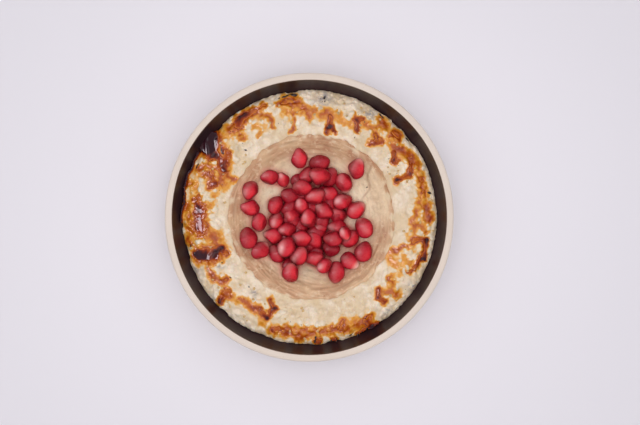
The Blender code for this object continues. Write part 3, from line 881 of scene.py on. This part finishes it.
class MESH_OT_ganoush_spread(bpy.types.Operator):
    """Lines the well with the sesame spread"""

    bl_idname = "mesh.ganoush_spread"
    bl_label = "Sesame spread"

    def execute(self, context):
        sizes = context.scene.ganoush_spread
        rings = [WELL_RADIUS * (i / 100) ** 0.9 for i in range(101)]
        profile = [(r, 0) for r in rings]
        profile += [(WELL_RADIUS + 0.25, -0.5), (WELL_RADIUS, -1.0)]
        profile += [(WELL_RADIUS * s, -1.0) for s in (0.9, 0.7, 0.4, 0.0)]
        spread = turned("sesame_paste", profile, sizes.steps)
        points = points_of(spread.data)
        points[:, 0] += WELL_X
        below = points[:, 2] < -0.7
        side = (points[:, 2] < -0.2) & ~below
        x, y = points[:, 0], points[:, 1]
        lip = lip_radius(x, y) + 0.25
        grow = 1 + (lip / WELL_RADIUS - 1) * ease(30, WELL_RADIUS, well_distance(x, y))
        points[:, 0] = WELL_X + (x - WELL_X) * grow
        points[:, 1] = y * grow
        x, y = points[:, 0], points[:, 1]
        distance = well_distance(x, y)
        marks = spoon_marks(points)
        flat = np.column_stack([x, y, 0 * distance])
        ledge = far_ledge(x, y)
        ledge_run = ease(8, 14, y) * (1 - ease(29, 36, y))
        steep = ease(24, 34, distance)
        edge = 1 - ease(lip - 3, lip, distance)
        height = well_height(distance)
        height += sizes.ridge / MM * marks * mixed(0.6, 1.3, steep) * mixed(0.3, 1, edge)
        height += 0.55 * grain(flat, 13, 23) * edge + 0.9 * ledge * ledge_run * edge
        furrows = np.zeros(len(x))
        for turn, half, away, wide in FURROWS:
            gap = np.degrees(np.arctan2(y, x - WELL_X)) - turn
            run = np.clip(1 - ((gap + 180) % 360 - 180) ** 2 / half**2, 0, 1)
            furrows = np.maximum(furrows, run * np.exp(-(((distance - away) / wide) ** 2)))
        height -= 0.35 * furrows
        height = np.minimum(height, LIP_HEIGHT + 0.6)
        points[:, 2] = np.where(below, well_height(distance) - 1.7, height)
        points[side, 2] -= 0.7
        set_points(spread.data, points)
        right = ease(-40, 20, x) * ease(-35, 5, y)
        paint(spread.data, "mark", marks)
        paint(spread.data, "pale", ease(26, 40, distance) * ease(20, 34, x) * ease(-12, 4, y)
              * (1 - ease(45, 48, distance)) * (1 - ease(28, 38, y)))
        front = 1 - ease(-42, -20, y)
        paint(spread.data, "slope",
              ease(31, 43, distance) * (1 + 0.20 * right) * (1 - 0.40 * front))
        streaked = grain(flat, 5, 24) + 0.5 * marks
        paint(spread.data, "cream", ease(lip - 5, lip, distance) * ease(0.0, 0.6, streaked))
        # painted shade in the furrows and at the ledge's step
        paint(spread.data, "line",
              np.clip(0.45 * furrows + 1.3 * ledge * (1 - ledge) * ledge_run, 0, 1))
        # painted light in the middle of the well
        paint(spread.data, "middle", 1 - ease(26, 44, distance))
        paint(spread.data, "blush", red_glow_and_juice(x, y))
        shade_soft(spread)
        dress(spread, spread_finish(sizes), "sesame_spread", "sesame_spread")
        return {"FINISHED"}


# ---- the syrup --------------------------------------------------------------------


def syrup_finish(syrup):
    finish = Finish("pomegranate_syrup", IOR=1.46, Roughness=0.06)
    stain = finish.attribute("stain")
    drift = (finish.noise(200, 3) - 0.5) * 0.12
    base = finish.ramp(stain + drift, syrup_stops(syrup))
    ripple = finish.noise(240, 2)
    return finish.feed(Base_Color=base, Normal=finish.bump(ripple, 0.05, 0.0005))


class MESH_OT_ganoush_syrup(bpy.types.Operator):
    """Pours the pomegranate syrup into the hollows of the dip"""

    bl_idname = "mesh.ganoush_syrup"
    bl_label = "Syrup"

    def execute(self, context):
        rings = [48.0 + 0.33 * i for i in range(93)]
        syrup = turned("pomegranate_syrup", [(r, 0) for r in rings], 960)
        points = points_of(syrup.data)
        height, level, _, _ = dip_surface(points)
        depth = level - height
        radius = np.hypot(points[:, 0], points[:, 1])
        creep = 0.60 * np.exp(-np.clip(depth, 0, 9) / 0.35)
        points[:, 2] = level + creep * ease(-0.6, 0.0, depth)
        points[:, 2] -= 0.5 * ease(74.8, 76.3, radius) * (depth < 0.2)
        outer = wall_radius(points[:, 2]) - 0.12
        points[:, :2] *= (np.minimum(radius, outer) / radius)[:, None]
        set_points(syrup.data, points)
        paint(syrup.data, "stain", np.clip(0.46 + 0.25 * depth, 0.40, 1))
        keep = (depth + creep > 0.10) & (radius < wall_radius(level) + 0.5)
        cut_away(syrup, [not any(keep[i] for i in face.vertices) for face in syrup.data.polygons])
        shade_soft(syrup)
        dress(syrup, syrup_finish(context.scene.ganoush_syrup), "aubergine_dip")
        return {"FINISHED"}


# ---- flecks, seeds and scraps of skin in the dip ----------------------------------


# Places where a fleck shows clearly: x, y in millimetres and its half length
SPECKS = [(-47.0, -36.0, 0.6), (-38.0, 40.0, 0.7), (71.5, 14.5, 1.1), (34.5, 18.0, 0.5),
          (-36.0, -41.5, 0.5), (27.0, 47.5, 0.4), (-52.0, -27.0, 0.5), (9.0, 69.0, 0.6)]
# Scraps of skin by the wall: x, y, the way they point in degrees and their half length
SCRAPS = [(3.5, -72.8, 80, 1.8), (6.0, -73.6, 100, 1.5), (13.5, -72.4, 70, 1.7),
          (16.0, -73.2, 95, 1.3), (25.5, -69.6, 40, 1.8), (29.0, -69.8, 75, 1.5),
          (33.0, -67.2, 35, 2.1), (36.5, -65.0, 30, 1.7), (-10.5, 72.6, 5, 3.0),
          (-16.0, 71.4, 15, 2.2), (8.5, 70.4, 60, 1.8), (43.0, 60.2, -50, 1.6),
          (58.4, 46.0, -60, 1.5), (-66.8, 30.6, 60, 1.4), (-70.6, -17.6, 100, 1.2)]


def food_height(x, y):
    """Height of the dip or the spread at each place, in millimetres."""
    points = np.column_stack([x, y, np.zeros(len(x))])
    height, level, _, _ = dip_surface(points)
    well = well_distance(points[:, 0], points[:, 1])
    dip = np.maximum(height, level - 0.3)
    return np.where(well < WELL_RADIUS - 1, well_height(well) + 0.3, dip)


def ring_spots(chance, count, inner, outer):
    """Spots strewn over the ring of dip."""
    spots = []
    for _ in range(count):
        far = math.sqrt(chance.uniform(inner**2, outer**2))
        turn = chance.uniform(0, math.tau)
        spots.append((WELL_X + far * math.cos(turn), far * math.sin(turn)))
    return spots


def scatter(name, shape, spots, material):
    """Copies a shape to each spot (x, y, turn, lift, half length, half width, half thickness)."""
    heights = food_height(np.array([s[0] for s in spots]), np.array([s[1] for s in spots]))
    local = np.array([v.co for v in shape.data.vertices])
    copies = []
    for (x, y, turn, lift, *halves), ground in zip(spots, heights):
        copy = shape.copy()
        copy.data = shape.data.copy()
        bpy.context.scene.collection.objects.link(copy)
        sized = local * halves
        points = np.column_stack([
            x + sized[:, 0] * math.cos(turn) - sized[:, 1] * math.sin(turn),
            y + sized[:, 0] * math.sin(turn) + sized[:, 1] * math.cos(turn),
            ground + lift + sized[:, 2],
        ])
        set_points(copy.data, points)
        copies.append(copy)
    deselect_all()
    for copy in copies:
        copy.select_set(True)
    bpy.context.view_layer.objects.active = copies[0]
    bpy.ops.object.join()
    joined = active(name)
    bpy.data.objects.remove(shape)
    shade_soft(joined)
    dress(joined, material, "aubergine_dip")
    return joined


def knobbly_ball(name, subdivisions, rough, seed):
    """A small ball with an uneven surface, of half length 1."""
    deselect_all()
    bpy.ops.mesh.primitive_ico_sphere_add(subdivisions=subdivisions, radius=1)
    ball = active(name)
    for vertex in ball.data.vertices:
        vertex.co *= 1 + rough * noise.noise(vertex.co * 1.4 + Vector((seed, 0, 0)))
    return ball


def skin_strip():
    """A torn, curled strip of skin, of half length 1."""
    deselect_all()
    bpy.ops.mesh.primitive_grid_add(x_subdivisions=10, y_subdivisions=4, size=2)
    strip = active("skin_strip")
    for vertex in strip.data.vertices:
        x, y, _ = vertex.co
        torn = 1 + 0.35 * noise.noise(Vector((x * 2.1, y * 0.6, 3.0)))
        y *= (1 - 0.75 * x**4) * torn
        vertex.co = (x, y, 0.9 * x * x - 1.2 * y * y + 0.3 * math.sin(3 * x))
    solid = strip.modifiers.new("thickness", "SOLIDIFY")
    solid.thickness = 0.35
    bpy.ops.object.modifier_apply(modifier=solid.name)
    return strip


CHAR, CHAR_LIGHT = (0.012, 0.007, 0.008), (0.060, 0.030, 0.022)
SEED, SEED_SHADE = (0.66, 0.45, 0.20), (0.50, 0.30, 0.12)


def char_finish():
    finish = Finish("charred_skin", IOR=1.45)
    cloud = finish.noise(700, 3)
    base = cloud.smooth(0.35, 0.7).mix(rgba(CHAR), rgba(CHAR_LIGHT))
    return finish.feed(Base_Color=base, Roughness=(cloud - 0.5) * 0.3 + 0.34,
                       Normal=finish.bump(cloud, 0.4, 0.0002))


def seed_finish():
    finish = Finish("aubergine_seed", IOR=1.42)
    cloud = finish.noise(600, 3)
    base = cloud.smooth(0.35, 0.7).mix(rgba(SEED), rgba(SEED_SHADE))
    return finish.feed(Base_Color=base, Roughness=(cloud - 0.5) * 0.2 + 0.36,
                       Normal=finish.bump(cloud, 0.3, 0.0002))


class MESH_OT_ganoush_scraps(bpy.types.Operator):
    """Strews the charred flecks, the seeds and the scraps of skin"""

    bl_idname = "mesh.ganoush_scraps"
    bl_label = "Flecks, seeds and skin"

    def execute(self, context):
        chance = random.Random(23)
        flecks = [(x, y, chance.uniform(0, 3), 0.1, half, half * 0.7, half * 0.5)
                  for x, y, half in SPECKS]
        for x, y in ring_spots(chance, 46, 52, 74):
            half = chance.uniform(0.16, 0.42)
            flecks.append((x, y, chance.uniform(0, 3), 0.03, half, half * 0.6, half * 0.4))
        seeds = []
        for x, y in ring_spots(chance, 70, 51, 73):
            half = chance.uniform(0.7, 1.0)
            seeds.append((x, y, chance.uniform(0, 6), 0.0, half, half * 0.8, half * 0.42))
        scraps = [(x, y, math.radians(way), 0.15, half, half * 0.38, half * 0.25)
                  for x, y, way, half in SCRAPS]
        charred = char_finish()
        scatter("charred_flecks", knobbly_ball("fleck", 2, 0.5, 4.0), flecks, charred)
        scatter("aubergine_seeds", knobbly_ball("seed", 3, 0.12, 9.0), seeds, seed_finish())
        scatter("skin_scraps", skin_strip(), scraps, charred)
        return {"FINISHED"}


# ---- the pomegranate arils --------------------------------------------------------


DARK_TONE_AND_SHADE = (0.15, 0.003, 0.012)  # the darkest arils, from their own darker tone and from painted shade low in the heap
ARIL_EDGE_SHADE = (0.30, 0.007, 0.014)
ARIL_FIBRE = (0.68, 0.05, 0.06)
ARIL_TIP = (0.92, 0.56, 0.46)


def aril_finish(sizes):
    finish = Finish("pomegranate_flesh", IOR=1.33, Subsurface_Weight=0.10,
                    Subsurface_Scale=0.002, Subsurface_Radius=(1.0, 0.12, 0.10))
    rise = finish.attribute("rise")
    core = finish.attribute("core")
    tip = finish.attribute("tip")
    tone = finish.attribute("tone")
    side = finish.attribute("side")
    fibre = finish.noise(520, 3)
    # painted shade: each aril is crimson low down
    base = rise.smooth(0.0, 0.52).mix(rgba(sizes.deep), rgba(sizes.juice))
    base = finish.attribute("glow").mix(base, rgba(sizes.glow))
    # the arils' own darker tone, and painted shade for arils low in the heap
    base = (tone * 0.70).mix(base, rgba(DARK_TONE_AND_SHADE))
    # painted shade at each aril's edges
    base = (side.smooth(0.05, 0.42) * 0.80).mix(base, rgba(ARIL_EDGE_SHADE))
    base = (side.smooth(0.35, 0.85) * 0.70).mix(base, rgba(sizes.deep))
    base = (fibre.smooth(0.45, 0.75) * 0.16).mix(base, rgba(ARIL_FIBRE))
    # the pale seed that shows through, with a painted highlight over it
    base = (core * 0.96).mix(base, rgba(sizes.seed))
    base = (tip * 0.85).mix(base, rgba(ARIL_TIP))
    relief = finish.noise(330, 2) * 0.8 + fibre * 0.15
    return finish.feed(Base_Color=base, Roughness=(fibre - 0.5) * 0.12 + 0.28,
                       Normal=finish.bump(relief, 0.20, 0.0005))


def aril_shape(chance):
    """Shapes one aril from a ball: flattened by its neighbours in the fruit, drawn to a tip."""
    deselect_all()
    bpy.ops.mesh.primitive_ico_sphere_add(subdivisions=4, radius=1)
    aril = active("aril_shape")
    points = np.array([v.co for v in aril.data.vertices])
    for step in range(9):
        turn = math.tau * (step + chance.uniform(-0.3, 0.3)) / 5.5
        lean = chance.uniform(-0.6, 0.7) if step < 7 else chance.uniform(-1.3, -0.9)
        normal = Vector((lean, math.cos(turn), math.sin(turn))).normalized()
        over = points @ np.array(normal) - chance.uniform(0.72, 0.90)
        points -= np.outer(np.clip(over, 0, None) * 0.85, np.array(normal))
    ahead = np.clip((points[:, 0] + 0.25) / 1.25, 0, 1)
    points[:, 1:] *= (1 - chance.uniform(0.14, 0.40) * ahead**1.6)[:, None]
    aril.data.vertices.foreach_set("co", points.ravel())
    bpy.ops.object.mode_set(mode="EDIT")
    bpy.ops.mesh.select_all(action="SELECT")
    bpy.ops.mesh.vertices_smooth(factor=0.5, repeat=3)
    bpy.ops.object.mode_set(mode="OBJECT")
    points = np.array([v.co for v in aril.data.vertices])
    middle = (points.max(axis=0) + points.min(axis=0)) / 2
    points = (points - middle) / ((points.max(axis=0) - points.min(axis=0)) / 2)
    aril.data.vertices.foreach_set("co", points.ravel())
    return aril


def aril_places():
    """For each packed aril its centre, its three half lengths and the ways they point."""
    places = []
    for name in sorted(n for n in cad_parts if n.startswith("aril_")):
        points = points_of(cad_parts[name].data)
        points = np.unique(points.round(3), axis=0)
        _, ways = np.linalg.eigh(np.cov((points - points.mean(0)).T))
        long_way, wide_way, flat_way = ways[:, 2], ways[:, 1], ways[:, 0]
        middle = points.mean(0)
        spans = (points - middle) @ long_way
        girth = np.linalg.norm((points - middle) - np.outer(spans, long_way), axis=1)
        if girth[spans > 0.3 * spans.max()].mean() > girth[spans < 0.3 * spans.min()].mean():
            long_way = -long_way
        if flat_way[2] < 0:
            flat_way = -flat_way
        wide_way = np.cross(flat_way, long_way)
        axes = np.array([long_way, wide_way, flat_way])
        ends = (points - middle) @ axes.T
        halves = (ends.max(0) - ends.min(0)) / 2
        centre = middle + ((ends.max(0) + ends.min(0)) / 2) @ axes
        places.append((centre, axes, halves))
    for x, y, way in LOW_ARILS:
        turn = math.radians(way)
        axes = np.array([[math.cos(turn), math.sin(turn), 0], [-math.sin(turn), math.cos(turn), 0],
                         [0, 0, 1]])
        places.append((np.array([x, y, WELL_FLOOR + 3.6]), axes, np.array(LOW_ARIL_HALVES)))
    return places


# What each aril shows, in the order of the imported ones: how dark it is, by its own tone and
# painted shade, how clearly its pale seed and painted highlight show, and how pale its tip is
ARIL_LOOKS = [
    (0.0, 0.5, 0.0), (0.0, 1.0, 0.2), (0.3, 0.3, 0.0), (0.1, 0.7, 0.3), (0.1, 0.3, 0.0),
    (0.2, 0.3, 0.4), (0.5, 0.2, 0.0), (0.5, 0.1, 1.0), (0.3, 0.2, 0.5), (0.3, 0.2, 1.0),
    (0.0, 0.3, 0.5), (0.1, 0.2, 0.7), (0.4, 0.2, 0.0), (0.1, 0.3, 0.0), (0.1, 0.3, 1.0),
    (0.3, 0.3, 0.2), (0.7, 0.1, 0.0), (0.3, 0.3, 0.0), (0.8, 0.0, 0.1), (0.8, 0.2, 0.0),
    (0.2, 0.5, 0.0), (0.2, 0.3, 0.0), (0.4, 0.4, 0.0), (0.2, 0.2, 0.0), (0.2, 0.9, 0.2),
    (0.0, 0.3, 0.7), (1.0, 0.0, 0.0), (1.0, 0.0, 0.0), (1.0, 0.0, 0.0), (0.7, 0.6, 0.0),
    (1.0, 0.1, 0.0), (0.2, 0.4, 0.0), (0.5, 0.2, 0.2), (0.9, 0.0, 0.0), (0.1, 0.3, 0.2),
    (0.9, 0.0, 0.0), (0.1, 0.4, 0.2), (0.1, 0.8, 0.2), (0.1, 0.4, 0.0), (0.3, 0.2, 0.0),
    (0.1, 0.8, 0.0), (0.2, 0.7, 0.0), (0.2, 0.8, 0.0), (0.3, 0.6, 0.0), (0.2, 0.6, 0.0),
    (0.0, 0.5, 0.0), (0.3, 0.4, 0.0), (0.5, 0.3, 0.0), (0.0, 1.0, 0.2), (0.1, 0.6, 0.0),
    (0.1, 1.0, 0.0), (0.2, 0.8, 0.1),
]
ARIL_FULLNESS = 1.17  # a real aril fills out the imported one's facets
# Arils at the bottom of the heap, seen only through its gaps: x, y, and the way they point
LOW_ARILS = [(1.0, 6.5, 20), (7.5, -1.5, 75), (-0.5, -18.0, 150), (-12.0, 5.5, 40),
             (-5.5, -6.0, 110), (4.0, -9.5, 10), (12.5, -12.5, 60), (16.5, 1.5, 130),
             (7.5, 13.5, 85), (-3.5, 14.5, 30), (-10.5, -2.5, 165), (12.0, 8.0, 50),
             (-13.5, -12.5, 95), (-6.0, 22.0, 15)]
# painted shade: the low arils lie in the heap's shade and are painted dark
LOW_ARIL_LOOK = (0.8, 0.0, 0.0)
LOW_ARIL_HALVES = (4.9, 3.9, 3.2)


class MESH_OT_ganoush_arils(bpy.types.Operator):
    """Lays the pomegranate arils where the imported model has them"""

    bl_idname = "mesh.ganoush_arils"
    bl_label = "Pomegranate arils"

    def execute(self, context):
        chance = random.Random(7)
        shapes = [aril_shape(chance) for _ in range(8)]
        copies = []
        looks = ARIL_LOOKS + [LOW_ARIL_LOOK] * len(LOW_ARILS)
        for (centre, axes, halves), (dark, core, tip) in zip(aril_places(), looks):
            shape = shapes[chance.randrange(len(shapes))]
            copy = shape.copy()
            copy.data = shape.data.copy()
            context.scene.collection.objects.link(copy)
            local = np.array([v.co for v in copy.data.vertices])
            flip = chance.choice((-1, 1))
            local[:, 1] *= flip
            points = centre + (local * halves * ARIL_FULLNESS) @ axes
            if flip < 0:
                copy.data.flip_normals()
            set_points(copy.data, points)
            # the pale seed and a painted highlight show on the lit side, and painted light shines
            # out on the far side
            lit = axes @ np.array([-0.45, 0.25, 0.75])
            stray = (chance.uniform(-0.25, 0.15), chance.uniform(-0.15, 0.15), 0)
            spot = np.array(stray) + 0.62 * lit
            away = np.linalg.norm((local - spot) * (0.85, 1.35, 1.0), axis=1)
            far = axes @ np.array([0.42, -0.25, 0.55])
            through = np.linalg.norm((local - far) * (0.8, 1.1, 1.0), axis=1)
            rise = (points[:, 2] - points[:, 2].min()) / np.ptp(points[:, 2])
            paint(copy.data, "rise", rise)
            paint(copy.data, "core", max(core, 0.45 - 0.4 * dark) * np.exp(-((away / 0.50) ** 2.4)))
            paint(copy.data, "glow", np.exp(-((through / 0.62) ** 2)))
            paint(copy.data, "tip", tip * ease(0.50, 1.0, local[:, 0]) * ease(0.25, 0.7, rise))
            paint(copy.data, "tone", np.full(len(points), dark))
            paint(copy.data, "side", [1 - abs(v.normal.z) for v in copy.data.vertices])
            copies.append(copy)
        deselect_all()
        for copy in copies:
            copy.select_set(True)
        context.view_layer.objects.active = copies[0]
        bpy.ops.object.join()
        arils = active("pomegranate_arils")
        for shape in shapes:
            bpy.data.objects.remove(shape)
        shade_soft(arils)
        names = [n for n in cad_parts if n.startswith("aril_")]
        dress(arils, aril_finish(context.scene.ganoush_arils), "pomegranate", *names)
        return {"FINISHED"}


# ---- the stage --------------------------------------------------------------------


RING_BOXES = 8  # soft boxes in a ring round the dish
RING_RADIUS = 0.95
RING_HEIGHT = 1.3
RING_POWER = 1.33


def table_finish(shade):
    finish = Finish("pale_table", Specular_IOR_Level=0.2)
    cloud = finish.noise(3, 2)
    base = cloud.smooth(0.3, 0.7).mix(rgba(shade), rgba([c * 0.985 for c in shade]))
    # painted shade: the table grows darker away from the dish, towards the corners
    far = finish.start.node("ShaderNodeVectorMath", {"operation": "LENGTH"}, "Value",
                            Vector=finish.place)
    base = far.smooth(0.12, 0.26).mix(base, rgba([c * 0.935 for c in shade]))
    return finish.feed(Base_Color=base, Roughness=(cloud - 0.5) * 0.1 + 0.6,
                       Normal=finish.bump(finish.noise(900, 2), 0.05, 0.0001))


def soft_light(name, place, size, power, shade, size_y=None):
    """An area light that looks at the middle of the dish."""
    deselect_all()
    bpy.ops.object.light_add(type="AREA", location=place)
    light = bpy.context.object
    light.name = name
    light.data.shape = "RECTANGLE"
    light.data.size, light.data.size_y = size, size_y or size
    light.data.energy = power
    light.data.color = shade
    aim = Vector((0, 0, 0.03)) - Vector(place)
    light.rotation_euler = aim.to_track_quat("-Z", "Y").to_euler()
    return light


class SCENE_OT_ganoush_stage(bpy.types.Operator):
    """Sets the table, the lights and the camera"""

    bl_idname = "scene.ganoush_stage"
    bl_label = "Stage"

    def execute(self, context):
        sizes = context.scene.ganoush_stage
        deselect_all()
        bpy.ops.mesh.primitive_plane_add(size=6)
        table = active("table_top")
        table.data.materials.append(table_finish(sizes.table))
        world = bpy.data.worlds.new("soft_room")
        world.use_nodes = True
        sky = world.node_tree.nodes["Background"]
        sky.inputs["Color"].default_value = (0.985, 0.98, 1.0, 1)
        sky.inputs["Strength"].default_value = 0.34
        context.scene.world = world
        for box in range(RING_BOXES):
            turn = math.tau * box / RING_BOXES
            place = (RING_RADIUS * math.cos(turn), RING_RADIUS * math.sin(turn), RING_HEIGHT)
            power = RING_POWER * (1 - 0.08 * math.cos(turn) - 0.08 * math.sin(turn))
            soft_light(f"ring_box_{box + 1}", place, 0.75, power, (1.0, 0.99, 1.0))
        # this one lights the hollows, and the syrup doesn't mirror it
        overhead = soft_light("overhead", (0, 0, 1.45), 0.9, 7.0, (1.0, 0.95, 0.98))
        overhead.visible_glossy = False
        # these two are only mirrored, in the syrup and on the arils
        window = soft_light("window", (-0.98, 0.10, 1.05), 0.20, 6.2, (1.0, 0.86, 0.93), 1.00)
        panel = soft_light("left_panel", (-0.205, -0.008, 1.2), 0.09, 0.55, (1.0, 0.84, 0.94), 0.15)
        window.visible_diffuse = panel.visible_diffuse = False
        bpy.ops.object.camera_add(location=(0.0063, 0.0028, RIM_HEIGHT * MM + sizes.height))
        camera = context.object
        camera.name = "overhead_camera"
        camera.rotation_euler = (0, 0, 0)
        camera.data.lens = sizes.lens
        camera.data.sensor_width = 36
        camera.data.clip_start = 0.01
        context.scene.camera = camera
        context.scene.view_settings.view_transform = "Standard"
        return {"FINISHED"}


# ---- the add-on -------------------------------------------------------------------


class VIEW3D_PT_ganoush(bpy.types.Panel):
    """Lists the pieces of the dish"""

    bl_idname = "VIEW3D_PT_ganoush"
    bl_label = "Baba Ganoush"
    bl_space_type = "VIEW_3D"
    bl_region_type = "UI"
    bl_category = "Starters"

    def draw(self, context):
        for step in STEPS:
            self.layout.operator(step.bl_idname)


STEPS = (MESH_OT_ganoush_bowl, MESH_OT_ganoush_dip, MESH_OT_ganoush_spread,
         MESH_OT_ganoush_syrup, MESH_OT_ganoush_scraps, MESH_OT_ganoush_arils,
         SCENE_OT_ganoush_stage)
GROUPS = {"ganoush_bowl": GanoushBowl, "ganoush_dip": GanoushDip,
          "ganoush_spread": GanoushSpread, "ganoush_syrup": GanoushSyrup,
          "ganoush_arils": GanoushArils, "ganoush_stage": GanoushStage}


def register():
    for made in (*GROUPS.values(), *STEPS, VIEW3D_PT_ganoush):
        bpy.utils.register_class(made)
    for name, group in GROUPS.items():
        setattr(bpy.types.Scene, name, PointerProperty(type=group))


def unregister():
    for name in GROUPS:
        delattr(bpy.types.Scene, name)
    for made in (VIEW3D_PT_ganoush, *reversed(STEPS), *GROUPS.values()):
        bpy.utils.unregister_class(made)


def main():
    register()
    bpy.ops.mesh.ganoush_bowl()
    bpy.ops.mesh.ganoush_dip()
    bpy.ops.mesh.ganoush_spread()
    bpy.ops.mesh.ganoush_syrup()
    bpy.ops.mesh.ganoush_scraps()
    bpy.ops.mesh.ganoush_arils()
    bpy.ops.scene.ganoush_stage()


if __name__ == "__main__":
    main()
